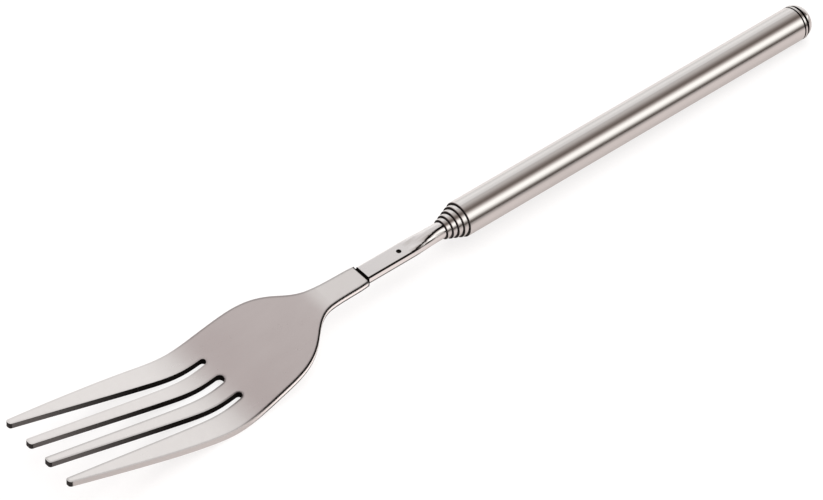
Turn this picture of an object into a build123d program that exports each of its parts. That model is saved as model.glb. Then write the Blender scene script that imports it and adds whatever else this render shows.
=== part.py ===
from build123d import *
import os
from math import asin, degrees

# Telescopic stainless-steel food fork, made of separate pieces, in millimetres.
#
# A four-tined fork head is clamped in the flattened front of a shank tube. The shank and four
# sections slide one inside another and all of them inside the handle tube. Each sliding tube has
# two spring shims on a turned seat near its rear end, which rub in the bore outside them and stop
# at its rolled lip, and a pressed rear plug, on which the next smaller tube rests when it is closed.
#
# The pieces are drawn with the handle tube's axis along X and the fork pointing along -X, then
# laid down as the closed fork lies on a table: the belly of the fork and the rear of the handle
# both touch Z = 0, and the origin is on the table, midway between the tips and the end cap.

# Telescope: nested tubes, from the handle inwards
HANDLE_DIAMETER = 8.4
HANDLE_LENGTH = 103.6
DIAMETER_STEP = 0.9
WALL = 0.3
SECTIONS = 4  # sliding tubes between the handle and the shank
LIP_PITCH = 1.25  # how far each closed tube stands out of the one around it
LIP_LENGTH = 1.0
LIP_ROUND = 0.22
LIP_GROOVE = 0.12  # chamfer inside the lip's mouth, which shows as a dark ring round the next tube
LIP_GAP = 0.03  # radial room between a rolled lip and the tube that runs through it

# Spring shims, their seat and the rear plugs
SEAT_DEPTH = 0.1
SEAT_REAR = 2.4  # from the tube's rear end to the seat
SHIM_LENGTH = 12.0
SHIM_GAP = 0.02  # radial running room on both faces, and end play in the seat
SHIM_SPAN = 168.0  # degrees round the tube that one shim covers
VENT_RADIUS = 0.6
PLUG_CHAMFER = 0.15
END_PLAY = 0.05  # left between a closed tube and the plug or cap that it rests on

# End cap
SPIGOT_LENGTH = 6.0
CAP_RIM = 1.1  # from the tube's end to the rear of the cap's plain rim
CAP_GROOVE = 0.35  # seam between the tube and the rim
DOME_GROOVE = 0.45  # groove between the rim and the dome
GROOVE_RADIUS = 3.55
DOME_RADIUS = 3.95
DOME_HEIGHT = 2.65

# Shank: the round tube is pressed flat on the fork's tang
SHANK_ROUND = 0.5  # round length in front of the last lip
SHANK_TAPER = 10.0
TAPER_STEPS = 3  # lofted spans in the taper
FLAT_LENGTH = 12.0
FLAT_WIDTH = 4.4
FLAT_HEIGHT = 2.1
FLAT_CORNER = 0.5
PIN_FROM_JOINT = 10.2
PIN_RADIUS = 0.6
PIN_SINK = 0.4  # how far the pin's upper end lies below the flat

# Fork head, measured forwards from the joint where the flattened tube ends
TANG_LENGTH = 13.0
TANG_WIDTH = 2.8
JOINT_GAP = 0.4
JOINT_GAP_WIDTH = 4.0
JOINT_GAP_THICKNESS = 1.3
TANG_THICKNESS = FLAT_HEIGHT - 2 * WALL
HEAD_LENGTH = 87.8
SLOT_ROOT = 38.5
TIP_ROUND = 0.6
BELLY = 43.0
BELLY_DEPTH = 8.537
# Side view: forward distance, height of the upper face, thickness
SIDE_VIEW = (
    (11.0, 0.75, 1.5),
    (16.0, -0.05, 1.55),
    (24.0, -2.15, 1.6),
    (34.0, -4.88, 1.6),
    (40.0, -6.5, 1.6),
    (43.5, -6.95, 1.6),
    (48.5, -6.45, 1.6),
    (53.0, -5.35, 1.6),
    (64.0, -2.3, 1.55),
    (76.0, 1.15, 1.5),
    (HEAD_LENGTH, 4.5, 1.45),
)
# Plan view: forward distance, half width
PLAN_VIEW = (
    (JOINT_GAP, 2.72),
    (5.0, 2.95),
    (10.0, 3.1),
    (13.5, 3.75),
    (16.0, 5.25),
    (19.0, 8.0),
    (22.0, 10.15),
    (26.0, 11.65),
    (31.0, 12.3),
    (40.0, 12.75),
    (50.0, 12.9),
    (58.0, 12.8),
    (70.0, 12.15),
    (80.0, 11.4),
    (HEAD_LENGTH, 10.7),
)
# Gaps between tines: middle and half width at the root, middle and half width at the tips
SLOTS = (
    (-6.03, 0.84, -6.7, 2.65),
    (0.0, 1.2, 0.0, 2.25),
    (6.03, 0.84, 6.7, 2.65),
)

handle_radius = HANDLE_DIAMETER / 2
handle_front = -HANDLE_LENGTH / 2
handle_rear = HANDLE_LENGTH / 2
last_lip = handle_front - SECTIONS * LIP_PITCH
taper_front = last_lip - SHANK_ROUND - SHANK_TAPER
joint_x = taper_front - FLAT_LENGTH
cap_rear = handle_rear + CAP_RIM + DOME_GROOVE + DOME_HEIGHT
tips_x = joint_x - HEAD_LENGTH


def ahead(distance):
    return joint_x - distance


def tube_radius(stage):
    """Outside radius of a tube: stage 0 is the handle, 1 to 4 the sections and 5 the shank."""
    return handle_radius - stage * DIAMETER_STEP / 2


shank_stage = SECTIONS + 1
shank_radius = tube_radius(shank_stage)


def tube_rear(stage):
    """Where a closed sliding tube ends: stage 1 rests on the cap, each other one on a plug."""
    return handle_rear - SPIGOT_LENGTH - END_PLAY - (stage - 1) * LIP_PITCH


def seat_centre(stage):
    return tube_rear(stage) - SEAT_REAR - SHIM_LENGTH / 2


def pressed_section(step, wall):
    """Width, height and corner radius of the shank's outside, or of its bore, part of the way
    from round to flat."""
    round_sizes = 2 * shank_radius, 2 * shank_radius, shank_radius
    flat_sizes = FLAT_WIDTH, FLAT_HEIGHT, FLAT_CORNER
    share = step / TAPER_STEPS
    eased = share**2 * (3 - 2 * share)
    width, height, corner = [a + (b - a) * eased for a, b in zip(round_sizes, flat_sizes)]
    return width - 2 * wall, height - 2 * wall, corner - wall


def lipped_tube(stage, front, rear):
    """Round tube along X, its front rolled in to a lip round the next smaller tube.

    A sliding tube also has the turned seat for its shims.
    """
    radius = tube_radius(stage)
    bore = radius - WALL
    lip_bore = tube_radius(stage + 1) + LIP_GAP
    with BuildPart() as tube:
        with BuildSketch(Plane.XZ):
            with BuildLine():
                Polyline(
                    (front + LIP_ROUND, radius),
                    (rear, radius),
                    (rear, bore),
                    (front + LIP_LENGTH, bore),
                    (front + LIP_LENGTH / 2, lip_bore),
                    (front + LIP_GROOVE, lip_bore),
                    (front, lip_bore + LIP_GROOVE),
                    (front, radius - LIP_ROUND),
                )
                RadiusArc((front, radius - LIP_ROUND), (front + LIP_ROUND, radius), LIP_ROUND)
            make_face()
        revolve(axis=Axis.X)
        if stage > 0:
            with BuildSketch(Plane.XZ):
                with Locations((seat_centre(stage), radius)):
                    Rectangle(SHIM_LENGTH + 2 * SHIM_GAP, 2 * SEAT_DEPTH)
            revolve(axis=Axis.X, mode=Mode.SUBTRACT)
    return tube


def spring_shim(stage, side):
    """Half shell of spring brass; side is 1 for the upper shim and -1 for the lower one."""
    inner = tube_radius(stage) - SEAT_DEPTH + SHIM_GAP
    outer = tube_radius(stage - 1) - WALL - SHIM_GAP
    with BuildPart() as shim:
        with BuildSketch(Plane.XY):
            with Locations((seat_centre(stage), (inner + outer) / 2)):
                Rectangle(SHIM_LENGTH, outer - inner)
        revolve(axis=Axis.X, revolution_arc=SHIM_SPAN)
    start = (180 - SHIM_SPAN) / 2 + (0 if side > 0 else 180)
    shim.part = shim.part.rotate(Axis.X, start)
    return shim


def rear_plug(stage):
    """Vented disc pressed into a tube's rear end, flush with it."""
    rear = tube_rear(stage)
    bore = tube_radius(stage) - WALL
    with BuildPart() as plug:
        with BuildSketch(Plane.YZ.offset(rear - LIP_PITCH + END_PLAY)):
            Circle(bore)
            Circle(VENT_RADIUS, mode=Mode.SUBTRACT)
        extrude(amount=LIP_PITCH - END_PLAY)
        rim = plug.faces().sort_by(Axis.X)[-1].outer_wire().edges()
        chamfer(rim, PLUG_CHAMFER)
    return plug


tilt = degrees(asin((BELLY_DEPTH - handle_radius) / (handle_rear + CAP_RIM - ahead(BELLY))))
lying = Location((0, 0, 0), (0, tilt, 0))
rear_foot = lying * Location((handle_rear + CAP_RIM, 0, -handle_radius))
lift = -rear_foot.position.Z
shift = -((lying * Location((tips_x, 0, 0))).position.X + (lying * Location((cap_rear, 0, 0))).position.X) / 2
table = Location((shift, 0, lift)) * lying

os.makedirs("parts", exist_ok=True)


def write(piece, name):
    """Lays the finished piece on the table and saves it."""
    piece.part = piece.part.moved(table)
    piece.part.label = name
    export_step(piece.part, f"parts/{name}.step")


# --- handle ---------------------------------------------------------------------------------
handle_tube = lipped_tube(0, handle_front, handle_rear)
write(handle_tube, "handle_tube")

with BuildPart() as end_cap:
    spigot_front = handle_rear - SPIGOT_LENGTH
    rim_front = handle_rear + CAP_GROOVE
    rim_rear = handle_rear + CAP_RIM
    dome_front = rim_rear + DOME_GROOVE
    bore = handle_radius - WALL
    with BuildSketch(Plane.XZ):
        with BuildLine():
            Polyline(
                (dome_front + DOME_HEIGHT, 0),
                (spigot_front, 0),
                (spigot_front, bore - PLUG_CHAMFER),
                (spigot_front + PLUG_CHAMFER, bore),
                (handle_rear, bore),
                (handle_rear, GROOVE_RADIUS),
                (rim_front, GROOVE_RADIUS),
                (rim_front, handle_radius),
                (rim_rear, handle_radius),
                (rim_rear, GROOVE_RADIUS),
                (dome_front, GROOVE_RADIUS),
                (dome_front, DOME_RADIUS),
            )
            EllipticalCenterArc((dome_front, 0), DOME_HEIGHT, DOME_RADIUS, start_angle=0, arc_size=90)
        make_face()
    revolve(axis=Axis.X)
write(end_cap, "handle_end_cap")

# --- sliding sections -----------------------------------------------------------------------
for stage in range(1, SECTIONS + 1):
    front = handle_front - stage * LIP_PITCH
    section = lipped_tube(stage, front, tube_rear(stage))
    write(section, f"section_{stage}_tube")

# --- shank ----------------------------------------------------------------------------------
round_front = last_lip - SHANK_ROUND
with BuildPart() as shank:
    with BuildSketch(Plane.YZ.offset(round_front)):
        Circle(shank_radius)
    extrude(amount=tube_rear(shank_stage) - round_front)
    with BuildSketch(Plane.XZ):
        with Locations((seat_centre(shank_stage), shank_radius)):
            Rectangle(SHIM_LENGTH + 2 * SHIM_GAP, 2 * SEAT_DEPTH)
    revolve(axis=Axis.X, mode=Mode.SUBTRACT)
    with BuildSketch(Plane.YZ.offset(round_front)):
        Circle(shank_radius - WALL)
    extrude(amount=tube_rear(shank_stage) - round_front, mode=Mode.SUBTRACT)
    for wall, mode in ((0, Mode.ADD), (WALL, Mode.SUBTRACT)):
        with BuildSketch(Plane.YZ.offset(round_front)):
            Circle(shank_radius - wall)
        for step in range(1, TAPER_STEPS + 1):
            with BuildSketch(Plane.YZ.offset(round_front - step * SHANK_TAPER / TAPER_STEPS)):
                RectangleRounded(*pressed_section(step, wall))
        loft(mode=mode)
        with BuildSketch(Plane.YZ.offset(joint_x)):
            RectangleRounded(*pressed_section(TAPER_STEPS, wall))
        extrude(amount=FLAT_LENGTH, mode=mode)
    with BuildSketch(Plane.XY):
        with Locations((joint_x + PIN_FROM_JOINT, 0)):
            Circle(PIN_RADIUS)
    extrude(amount=FLAT_HEIGHT, both=True, mode=Mode.SUBTRACT)
write(shank, "shank_tube")

for stage in range(1, shank_stage + 1):
    owner = "shank" if stage == shank_stage else f"section_{stage}"
    write(rear_plug(stage), f"{owner}_rear_plug")
    write(spring_shim(stage, 1), f"{owner}_upper_shim")
    write(spring_shim(stage, -1), f"{owner}_lower_shim")

with BuildPart() as tang_pin:
    with BuildSketch(Plane.XY.offset(-FLAT_HEIGHT / 2)):
        with Locations((joint_x + PIN_FROM_JOINT, 0)):
            Circle(PIN_RADIUS)
    extrude(amount=FLAT_HEIGHT - PIN_SINK)
    chamfer(tang_pin.faces().sort_by(Axis.Z)[-1].edges(), PLUG_CHAMFER)
    chamfer(tang_pin.faces().sort_by(Axis.Z)[0].edges(), PLUG_CHAMFER)
write(tang_pin, "tang_pin")

# --- fork head ------------------------------------------------------------------------------
with BuildPart() as fork_head:
    with BuildSketch(Plane.XZ):
        upper = [(ahead(s), z) for s, z, t in SIDE_VIEW]
        lower = [(ahead(s), z - t) for s, z, t in SIDE_VIEW]
        with BuildLine():
            Spline(*upper, tangents=((-1, 0), (-1, 0.284)))
            Spline(*lower, tangents=((-1, 0), (-1, 0.284)))
            Line(upper[-1], lower[-1])
            Polyline(
                upper[0],
                (ahead(JOINT_GAP), TANG_THICKNESS / 2),
                (ahead(JOINT_GAP), -TANG_THICKNESS / 2),
                lower[0],
            )
        make_face()
    extrude(amount=HANDLE_LENGTH / 4, both=True)
    with BuildSketch(Plane.XY):
        left = [(ahead(s), w) for s, w in PLAN_VIEW]
        right = [(x, -w) for x, w in left]
        with BuildLine():
            Spline(*left)
            Spline(*right)
            Line(left[0], right[0])
            Line(left[-1], right[-1])
        make_face()
        for root_y, root_half, mouth_y, mouth_half in SLOTS:
            root_x = ahead(SLOT_ROOT + root_half)
            mouth_x = tips_x - 1
            with Locations((root_x, root_y)):
                Circle(root_half, mode=Mode.SUBTRACT)
            with BuildLine():
                Polyline(
                    (root_x, root_y - root_half),
                    (mouth_x, mouth_y - mouth_half),
                    (mouth_x, mouth_y + mouth_half),
                    (root_x, root_y + root_half),
                    close=True,
                )
            make_face(mode=Mode.SUBTRACT)
    extrude(amount=HANDLE_LENGTH / 4, both=True, mode=Mode.INTERSECT)
    tip_edges = fork_head.faces().sort_by(Axis.X)[:4].edges().filter_by(Axis.Z)
    fillet(tip_edges, TIP_ROUND)
    with BuildSketch(Plane.YZ.offset(ahead(JOINT_GAP))):
        Rectangle(JOINT_GAP_WIDTH, JOINT_GAP_THICKNESS)
    extrude(amount=JOINT_GAP)
    with BuildSketch(Plane.YZ.offset(joint_x)):
        Rectangle(TANG_WIDTH, TANG_THICKNESS)
    extrude(amount=TANG_LENGTH)
    with BuildSketch(Plane.XY):
        with Locations((joint_x + PIN_FROM_JOINT, 0)):
            Circle(PIN_RADIUS)
    extrude(amount=FLAT_HEIGHT, both=True, mode=Mode.SUBTRACT)
write(fork_head, "fork_head")
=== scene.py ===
"""Looks for the telescopic table fork: polished tubes, a satin fork head, and a soft studio."""

import math

import bpy
from mathutils import Matrix

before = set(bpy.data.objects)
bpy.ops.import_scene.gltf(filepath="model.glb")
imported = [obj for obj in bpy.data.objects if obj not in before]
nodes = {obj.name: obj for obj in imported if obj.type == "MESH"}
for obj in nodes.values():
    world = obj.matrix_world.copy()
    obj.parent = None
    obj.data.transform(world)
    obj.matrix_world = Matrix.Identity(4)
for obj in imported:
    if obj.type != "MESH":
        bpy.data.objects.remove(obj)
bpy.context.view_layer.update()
scene = bpy.context.scene

# The closed fork's axis in the row frame, from the middle of the handle tube towards the end cap
TILT = math.radians(1.4185)
HANDLE_MIDDLE = (0.0555330, 0.0, 0.0055082)
AXIS = Matrix.Translation(HANDLE_MIDDLE) @ Matrix.Rotation(TILT, 4, "Y")
HANDLE_LIP = Matrix.Translation((-0.0513, 0.0, 0.0))


# ---------------------------------------------------------------- nodes
class Nodes:
    """Adds and links the nodes of a material or a world. Its methods take and give sockets."""

    def __init__(self, owner, output, shader):
        owner.use_nodes = True
        self.owner = owner
        self.tree = owner.node_tree
        self.tree.nodes.clear()
        self.shader = self.add(shader)
        self.add(output, {"Surface": self.shader.outputs[0]})

    def fill(self, node, inputs):
        """Links each named input to the socket given for it, or sets it to the value given."""
        for key, value in inputs.items():
            socket = node.inputs[key]
            if isinstance(value, bpy.types.NodeSocket):
                self.tree.links.new(value, socket)
            elif socket.type == "RGBA":
                socket.default_value = (*value, 1.0)
            else:
                socket.default_value = value

    def add(self, kind, inputs=None, **settings):
        node = self.tree.nodes.new(kind)
        for key, value in settings.items():
            setattr(node, key, value)
        self.fill(node, inputs or {})
        return node

    def coordinate(self, kind):
        return self.add("ShaderNodeTexCoord").outputs[kind]

    def from_middle(self):
        """Place on the closed fork's own axes, from the middle of the handle tube."""
        inputs = {
            "Vector": self.coordinate("Object"),
            "Rotation": (0.0, -TILT, 0.0),
            "Location": AXIS.inverted().translation,
        }
        return self.add("ShaderNodeMapping", inputs).outputs["Vector"]

    def stretched(self, stretch):
        """Place on the closed fork's own axes, stretched along each of them."""
        inputs = {"Vector": self.from_middle(), "Scale": stretch}
        return self.add("ShaderNodeMapping", inputs).outputs["Vector"]

    def split(self, vector):
        """The X, Y and Z of a vector."""
        return self.add("ShaderNodeSeparateXYZ", {"Vector": vector}).outputs

    def noise(self, place, scale, detail, roughness):
        inputs = {"Vector": place, "Scale": scale, "Detail": detail, "Roughness": roughness}
        return self.add("ShaderNodeTexNoise", inputs).outputs["Fac"]

    def fade(self, value, low, high, at_low, at_high, **settings):
        """Goes from at_low to at_high while the value goes from low to high."""
        inputs = {
            "Value": value, "From Min": low, "From Max": high, "To Min": at_low, "To Max": at_high,
        }
        return self.add("ShaderNodeMapRange", inputs, **settings).outputs["Result"]

    def band(self, value, start, full, still_full, end):
        """1 between the two middle values, falling to 0 at the outer two."""
        rise = self.fade(value, start, full, 0.0, 1.0)
        fall = self.fade(value, still_full, end, 1.0, 0.0)
        return self.math("MULTIPLY", rise, fall)

    def math(self, operation, first, *others):
        """Works on one value alone, or on several, two by two from the left."""
        if not others:
            return self.add("ShaderNodeMath", {0: first}, operation=operation).outputs["Value"]
        for other in others:
            node = self.add("ShaderNodeMath", {0: first, 1: other}, operation=operation)
            first = node.outputs["Value"]
        return first

    def mix(self, factor, a, b, blend="MIX"):
        inputs = {"Factor": factor, "A": a, "B": b}
        node = self.add("ShaderNodeMix", inputs, data_type="RGBA", blend_type=blend)
        return node.outputs["Result"]

    def colours(self, factor, stops):
        """A colour ramp through its stops: (position, colour) pairs from 0 to 1."""
        node = self.add("ShaderNodeValToRGB", {"Fac": factor})
        elements = node.color_ramp.elements
        for i, (position, colour) in enumerate(stops):
            stop = elements[i] if i < 2 else elements.new(position)
            stop.position = position
            stop.color = (*colour, 1.0)
        return node.outputs["Color"]


def new_material(name):
    material = bpy.data.materials.new(name)
    return Nodes(material, "ShaderNodeOutputMaterial", "ShaderNodeBsdfPrincipled")


# ---------------------------------------------------------------- painted shade
# Where shade and dark reflections are painted in: dark lines and patches, made rougher too.
# A fade is (low, high, value at low, value at high), and a band is four rising values. They run
# over a place in metres or over one part of the normal.
# Places on the head are in the row frame, and the others start at the middle of the handle tube.
# The near side is -Y.
# The colour of the painted shade and painted dark reflections
PAINTED_SHADE = (0.012, 0.010, 0.009)

# Fork head: painted shade and dark reflections on the cut walls in the gaps, outside the tines,
# at their tips and on the head's end, and thin dark lines painted along the rims, stronger on the
# near side
WALL_NOT_FACE = (0.45, 0.65, 1.0, 0.0)
BETWEEN_OUTER_TINES = (0.0097, 0.0100, 1.0, 0.0)
IN_FRONT_OF_BOWL = (-0.0600, -0.0570, 1.0, 0.0)
DARKER_FROM_TIPS = (-0.105, -0.080, 0.80, 0.995)
OUTSIDE_OF_TINES = (-0.066, -0.056, 0.45, 0.0)
TINE_ENDS = (-0.1108, -0.1102, 0.93, 0.0)
HEAD_END = (-0.02450, -0.02435, 0.0, 0.99)
RIM_REACH = 0.0011
# Over the likeness of the true normal and one rounded off within reach, which is 1 on plain faces
RIM_SHARPNESS = (0.93, 0.995, 1.0, 0.0)
RIM_BEHIND_TINES = (-0.068, -0.060, 0.30, 0.98)
RIM_NEAR_SIDE = (-0.002, 0.002, 1.0, 0.35)
# Painted highlight: a lighter colour on the head's walls, standing in for the bright floor they
# mirror
WALL_HIGHLIGHT = (0.98, 0.97, 0.96)

# Lips and end cap: painted shade in the mouth of each lip and in the cap's two grooves
LIP_MOUTH = (-0.75, -0.50, 0.93, 0.0)
# Painted shade: the two dark bands round the end cap
CAP_SEAMS = ((0.05177, 0.05220), (0.05270, 0.05348))
SEAM_BLUR = 0.00002

# Shank: painted dark reflections along the near creases, on the near side only, a painted
# dark line along the lower edge, and painted shade on the end at the joint
NEAR_SIDE = (-0.08, -0.02, 1.0, 0.0)
FLAT_CREASE = (0.40, 0.52, 0.96, 0.985)
FLAT_PART = (-0.0655, -0.0625, 0.97, 0.0)
TAPER_UPPER_CREASE = (0.86, 0.90, 0.970, 0.985)
TAPER_LOWER_CREASE = (0.44, 0.48, 0.55, 0.59)
TAPER_PART = (-0.0685, -0.0665, 0.0, 0.97)
LOWER_EDGE = (-0.00040, -0.00025, 0.70, 0.0)
LOWER_EDGE_PART = (-0.0660, -0.0610, 1.0, 0.0)
SHANK_END = (-0.75, -0.45, 0.99, 0.0)


def near_edge(n, reach):
    """1 within the given distance of a sharp edge, 0 elsewhere."""
    rounded = n.add("ShaderNodeBevel", {"Radius": reach}, samples=8).outputs["Normal"]
    own = n.add("ShaderNodeNewGeometry").outputs["Normal"]
    likeness = n.add("ShaderNodeVectorMath", {0: rounded, 1: own}, operation="DOT_PRODUCT")
    return n.fade(likeness.outputs["Value"], *RIM_SHARPNESS)


def head_shade_and_highlight(n, colour):
    """Gives the head's colour, with painted shade and a painted highlight. Its cut walls are
    painted nearly black in the gaps, outside the tines and at their tips, as painted shade and
    dark reflections, and the other walls, round the bowl, get a lighter colour, a painted
    highlight.
    Thin dark lines are painted along the rims, strongest behind the tines on the near side, and
    the head's end at the joint is painted dark as shade in the gap."""
    normal = n.split(n.coordinate("Normal"))
    place = n.split(n.coordinate("Object"))
    wall = n.fade(n.math("ABSOLUTE", normal["Z"]), *WALL_NOT_FACE)
    gaps = n.math(
        "MULTIPLY",
        n.fade(n.math("ABSOLUTE", place["Y"]), *BETWEEN_OUTER_TINES),
        n.fade(place["X"], *IN_FRONT_OF_BOWL),
        n.fade(place["X"], *DARKER_FROM_TIPS),
    )
    outside = n.fade(place["X"], *OUTSIDE_OF_TINES)
    tips = n.fade(place["X"], *TINE_ENDS)
    walls = n.math("MULTIPLY", n.math("MAXIMUM", gaps, outside, tips), wall)
    rims = n.math(
        "MULTIPLY",
        near_edge(n, RIM_REACH),
        n.fade(place["X"], *RIM_BEHIND_TINES),
        n.fade(place["Y"], *RIM_NEAR_SIDE),
    )
    dark = n.math("MAXIMUM", walls, n.fade(place["X"], *HEAD_END), rims)
    return n.mix(wall, colour, WALL_HIGHLIGHT), dark


def lip_mouth_shade(n, colour):
    """Gives a tube's colour, and painted shade in the mouth of its lip, which faces the fork."""
    normal = n.split(n.coordinate("Normal"))
    return colour, n.fade(normal["X"], *LIP_MOUTH)


def cap_groove_shade(n, colour):
    """Gives the end cap's colour, and painted shade in the two grooves round it."""
    place = n.split(n.from_middle())
    seams = [
        n.band(place["X"], front - SEAM_BLUR, front, rear, rear + SEAM_BLUR)
        for front, rear in CAP_SEAMS
    ]
    return colour, n.math("MAXIMUM", *seams)


def shank_painted_lines(n, colour):
    """Gives the shank's colour, with painted dark reflections along the near crease of its flat
    and of its taper, a painted dark line along its lower edge, and painted shade on its end at the
    joint."""
    normal = n.split(n.coordinate("Normal"))
    place = n.split(n.from_middle())
    flat = n.math("MULTIPLY", n.band(normal["Z"], *FLAT_CREASE), n.fade(place["X"], *FLAT_PART))
    taper = n.math(
        "MAXIMUM",
        n.band(normal["Z"], *TAPER_UPPER_CREASE),
        n.band(normal["Z"], *TAPER_LOWER_CREASE),
    )
    taper = n.math("MULTIPLY", taper, n.fade(place["X"], *TAPER_PART))
    crease = n.math("MULTIPLY", n.math("MAXIMUM", flat, taper), n.fade(normal["Y"], *NEAR_SIDE))
    low = n.math(
        "MULTIPLY", n.fade(place["Z"], *LOWER_EDGE), n.fade(place["X"], *LOWER_EDGE_PART)
    )
    return colour, n.math("MAXIMUM", crease, low, n.fade(normal["X"], *SHANK_END))


# ---------------------------------------------------------------- metals
# Stretches are along X, Y and Z. A noise is (scale, detail, roughness), and each metal sets the
# scale of its own clouds.
BRUSHING_STRETCH, BRUSHING_NOISE = (0.03, 1.0, 1.0), (9000.0, 3.0, 0.6)
CLOUD_STRETCH, CLOUD_DETAIL = (0.35, 1.0, 1.0), (5.0, 0.6)
SPECK_NOISE = (900.0, 6.0, 0.65)
SCRATCH_STRETCH, SCRATCH_SCALE = (0.25, 1.0, 1.0), 160.0
SCRATCH_PROFILE = (0.0, 0.012, 0.0, 1.0)
BRUSHING_DEPTH, SCRATCH_DEPTH = 0.00002, 0.00001
# The part of a noise's range that shows, and what it does there to tone and roughness
NOISE_RANGE, SPECK_RANGE = (0.3, 0.7), (0.35, 0.75)
CLOUD_TONE, BRUSHING_TONE = (0.0, 0.7), (0.0, 0.3)
SPECK_ROUGHNESS, BRUSHING_ROUGHNESS = (-0.02, 0.05), (-0.03, 0.03)


def metal(name, colours, roughness, brushing, clouds, scratches, paint=None):
    """Metal with long fine brushing, cloudy wear, small specks and thin scratches. Wear moves it
    between its two colours and its two roughnesses, and paint says where shade and dark
    reflections are painted in, dark and rough."""
    n = new_material(name)
    lines = n.noise(n.stretched(BRUSHING_STRETCH), *BRUSHING_NOISE)
    wear = n.noise(n.stretched(CLOUD_STRETCH), clouds, *CLOUD_DETAIL)
    specks = n.noise(n.from_middle(), *SPECK_NOISE)
    tone = n.math(
        "ADD",
        n.fade(wear, *NOISE_RANGE, *CLOUD_TONE),
        n.fade(lines, *NOISE_RANGE, *BRUSHING_TONE),
    )
    colour = n.mix(tone, *colours)
    rough = n.math(
        "ADD",
        n.fade(wear, *NOISE_RANGE, *roughness),
        n.fade(specks, *SPECK_RANGE, *SPECK_ROUGHNESS),
        n.fade(lines, *NOISE_RANGE, *BRUSHING_ROUGHNESS),
    )
    # Paint darkens the colour with painted shade and painted dark reflections, and makes it
    # rougher
    if paint:
        colour, dark = paint(n, colour)
        colour = n.mix(dark, colour, PAINTED_SHADE)
        rough = n.math("MAXIMUM", rough, dark)
    cells = n.add(
        "ShaderNodeTexVoronoi",
        {"Vector": n.stretched(SCRATCH_STRETCH), "Scale": SCRATCH_SCALE},
        feature="DISTANCE_TO_EDGE",
    )
    furrows = n.fade(cells.outputs["Distance"], *SCRATCH_PROFILE)
    brushed = n.add(
        "ShaderNodeBump", {"Strength": brushing, "Distance": BRUSHING_DEPTH, "Height": lines}
    )
    scratched = n.add(
        "ShaderNodeBump",
        {
            "Strength": scratches,
            "Distance": SCRATCH_DEPTH,
            "Height": furrows,
            "Normal": brushed.outputs["Normal"],
        },
    )
    surface = {
        "Metallic": 1.0,
        "Base Color": colour,
        "Roughness": rough,
        "Normal": scratched.outputs["Normal"],
    }
    n.fill(n.shader, surface)
    return n.owner


POLISHED = {
    "colours": ((0.64, 0.63, 0.62), (0.70, 0.69, 0.68)),
    "roughness": (0.07, 0.11),
    "brushing": 0.12,
    "clouds": 150.0,
    "scratches": 0.1,
}
HEAD = metal(
    "satin_steel",
    colours=((0.79, 0.775, 0.765), (0.85, 0.84, 0.83)),
    roughness=(0.28, 0.36),
    brushing=0.35,
    clouds=120.0,
    scratches=0.15,
    paint=head_shade_and_highlight,
)
TUBE = metal("polished_steel", **POLISHED, paint=lip_mouth_shade)
CAP = metal("capped_steel", **POLISHED, paint=cap_groove_shade)
# The shank's colours are lighter than the polished tube's: a painted brightening of its flat top
SHANK = metal(
    "pressed_steel",
    colours=((0.76, 0.75, 0.745), (0.82, 0.81, 0.805)),
    roughness=(0.09, 0.14),
    brushing=0.2,
    clouds=150.0,
    scratches=0.12,
    paint=shank_painted_lines,
)
PLUG = metal(
    "turned_steel",
    colours=((0.52, 0.51, 0.50), (0.62, 0.61, 0.60)),
    roughness=(0.28, 0.4),
    brushing=0.3,
    clouds=400.0,
    scratches=0.2,
)
# The pin is drawn nearly black
PIN = metal(
    "near_black_pin",
    colours=((0.030, 0.027, 0.025), (0.060, 0.055, 0.050)),
    roughness=(0.35, 0.5),
    brushing=0.3,
    clouds=800.0,
    scratches=0.2,
)
BRASS = metal(
    "spring_brass",
    colours=((0.66, 0.47, 0.20), (0.78, 0.60, 0.30)),
    roughness=(0.25, 0.36),
    brushing=0.3,
    clouds=300.0,
    scratches=0.3,
)
OWN_METAL = {"fork_head": HEAD, "shank_tube": SHANK, "tang_pin": PIN, "handle_end_cap": CAP}


def metal_of(name):
    if "shim" in name:
        return BRASS
    if "plug" in name:
        return PLUG
    return OWN_METAL.get(name, TUBE)


for name, node in nodes.items():
    node.data.materials.clear()
    node.data.materials.append(metal_of(name))


# ---------------------------------------------------------------- floor
FLOOR_HALF = 4
PAPER_NOISE = (30.0, 4.0, 0.55)
PAPER_TONES = ((0.33, 0.33, 0.33), (0.34, 0.34, 0.34))
PAPER_GLOW = 0.69
WHITE = (1.0, 1.0, 1.0)
# Colour of the floor as the metal mirrors it: (Y in metres, colour), from behind the fork to
# in front of it. The dip under the fork and just in front of it is a painted shadow of the fork,
# and the colour is painted darker further in front.
MIRRORED_FLOOR = (
    (0.02, (0.98, 0.945, 0.93)),
    (0.0, (0.62, 0.565, 0.55)),
    (-0.0038, (0.70, 0.64, 0.62)),
    (-0.0094, (0.82, 0.747, 0.727)),
    (-0.0178, (0.82, 0.747, 0.727)),
    (-0.0304, (0.66, 0.60, 0.58)),
    (-0.0444, (0.48, 0.44, 0.425)),
    (-0.1144, (0.34, 0.31, 0.295)),
    (-0.26, (0.16, 0.145, 0.14)),
)
# It is painted brighter on the head's side than on the handle's, a painted pool of light that
# the head's walls and the shank's sides mirror
BRIGHTER_AT_HEAD = (-0.012, 0.002, 1.25, 1.0)

floor_mesh = bpy.data.meshes.new("floor")
corners = [(x * FLOOR_HALF, y * FLOOR_HALF, 0) for x, y in ((-1, -1), (1, -1), (1, 1), (-1, 1))]
floor_mesh.from_pydata(corners, [], [(0, 1, 2, 3)])
floor = bpy.data.objects.new("floor", floor_mesh)
scene.collection.objects.link(floor)

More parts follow.
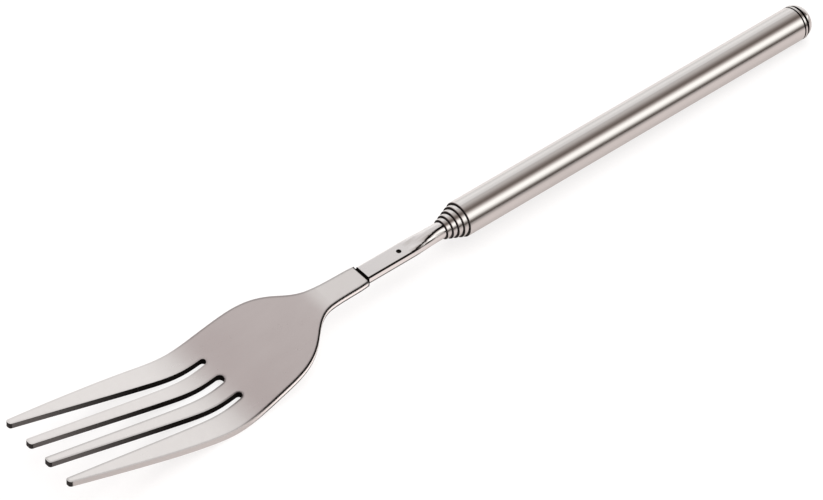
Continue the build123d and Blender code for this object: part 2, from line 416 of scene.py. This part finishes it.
paper = new_material("floor_paper")
mottle = paper.noise(paper.from_middle(), *PAPER_NOISE)
spot = paper.split(paper.coordinate("Object"))
back_y, front_y = MIRRORED_FLOOR[0][0], MIRRORED_FLOOR[-1][0]
stops = [((back_y - y) / (back_y - front_y), colour) for y, colour in MIRRORED_FLOOR]
mirrored = paper.add(
    "ShaderNodeVectorMath",
    {
        "Vector": paper.colours(paper.fade(spot["Y"], back_y, front_y, 0.0, 1.0), stops),
        "Scale": paper.fade(spot["X"], *BRIGHTER_AT_HEAD),
    },
    operation="SCALE",
)
# The metal sees the mirrored colour, and everything else a plain pale floor
is_mirrored = paper.add("ShaderNodeLightPath").outputs["Is Glossy Ray"]
seen = paper.mix(is_mirrored, WHITE, mirrored.outputs["Vector"])
paper.fill(
    paper.shader,
    {
        "Base Color": paper.mix(1.0, paper.mix(mottle, *PAPER_TONES), seen, "MULTIPLY"),
        "Roughness": 0.9,
        "Specular IOR Level": 0.0,
        "Emission Color": seen,
        "Emission Strength": PAPER_GLOW,
    },
)
floor_mesh.materials.append(paper.owner)

# ---------------------------------------------------------------- room
# Brightness of the room round the X axis, by degrees: 0 is the horizon at +Y, 90 is overhead and
# 180 is the horizon at -Y
ROOM = (
    (0.0, (0.77, 0.755, 0.74)),
    (26.0, (0.99, 0.965, 0.955)),
    (56.0, (0.72, 0.695, 0.69)),
    (73.0, (0.54, 0.50, 0.48)),
    (92.0, (0.25, 0.21, 0.195)),
    (103.0, (0.17, 0.140, 0.125)),
    (110.0, (0.26, 0.22, 0.20)),
    (117.0, (0.50, 0.44, 0.42)),
    (124.0, (0.85, 0.80, 0.77)),
    (131.0, (1.20, 1.16, 1.12)),
    (139.0, (1.38, 1.34, 1.30)),
    (149.0, (1.25, 1.22, 1.18)),
    (159.0, (0.80, 0.77, 0.74)),
    (167.0, (0.32, 0.29, 0.27)),
    (175.0, (0.12, 0.10, 0.09)),
    (180.0, (0.14, 0.12, 0.11)),
)
# The room is darker and warmer away from +X
TOWARDS_PLUS_X = (-0.15, 0.42, 0.0, 1.0)
WARM, BRIGHT = (0.70, 0.615, 0.62), (1.14, 1.14, 1.14)

world = bpy.data.worlds.new("studio")
scene.world = world
studio = Nodes(world, "ShaderNodeOutputWorld", "ShaderNodeBackground")
direction = studio.split(studio.coordinate("Generated"))
half_turns = studio.math(
    "DIVIDE", studio.math("ARCTAN2", direction["Z"], direction["Y"]), math.pi
)
stripes = studio.colours(half_turns, [(degrees / 180.0, colour) for degrees, colour in ROOM])
across = studio.fade(direction["X"], *TOWARDS_PLUS_X, interpolation_type="SMOOTHSTEP")
warmth = studio.mix(across, WARM, BRIGHT)
studio.fill(studio.shader, {"Color": studio.mix(1.0, stripes, warmth, "MULTIPLY")})

overhead = bpy.data.lights.new("overhead", "AREA")
overhead.shape = "DISK"
overhead.size = 1.6
overhead.energy = 15.0
overhead_object = bpy.data.objects.new("overhead", overhead)
overhead_object.location = (0.1, -0.1, 1.3)
overhead_object.visible_glossy = False
scene.collection.objects.link(overhead_object)

# ---------------------------------------------------------------- camera
# On the closed fork's own axes: place from the handle's lip in metres, turn round Z, height above
# the horizon, and roll. The lens is in millimetres on a 36 mm wide sensor.
CAMERA_FROM_LIP = (-0.4435, -0.4330, 0.6225)
CAMERA_TURN = math.radians(-44.77)
CAMERA_ELEVATION = math.radians(45.63)
CAMERA_ROLL = math.radians(5.0)
LENS = 175.870717

camera_data = bpy.data.cameras.new("camera")
camera_data.sensor_fit = "HORIZONTAL"
camera_data.sensor_width = 36.0
camera_data.lens = LENS
camera_data.clip_start = 0.05
camera_data.clip_end = 20.0
camera = bpy.data.objects.new("camera", camera_data)
camera.matrix_world = (
    AXIS
    @ HANDLE_LIP
    @ Matrix.Translation(CAMERA_FROM_LIP)
    @ Matrix.Rotation(CAMERA_TURN, 4, "Z")
    @ Matrix.Rotation(math.pi / 2 - CAMERA_ELEVATION, 4, "X")
    @ Matrix.Rotation(CAMERA_ROLL, 4, "Z")
)
scene.collection.objects.link(camera)
scene.camera = camera
scene.view_settings.view_transform = "Standard"
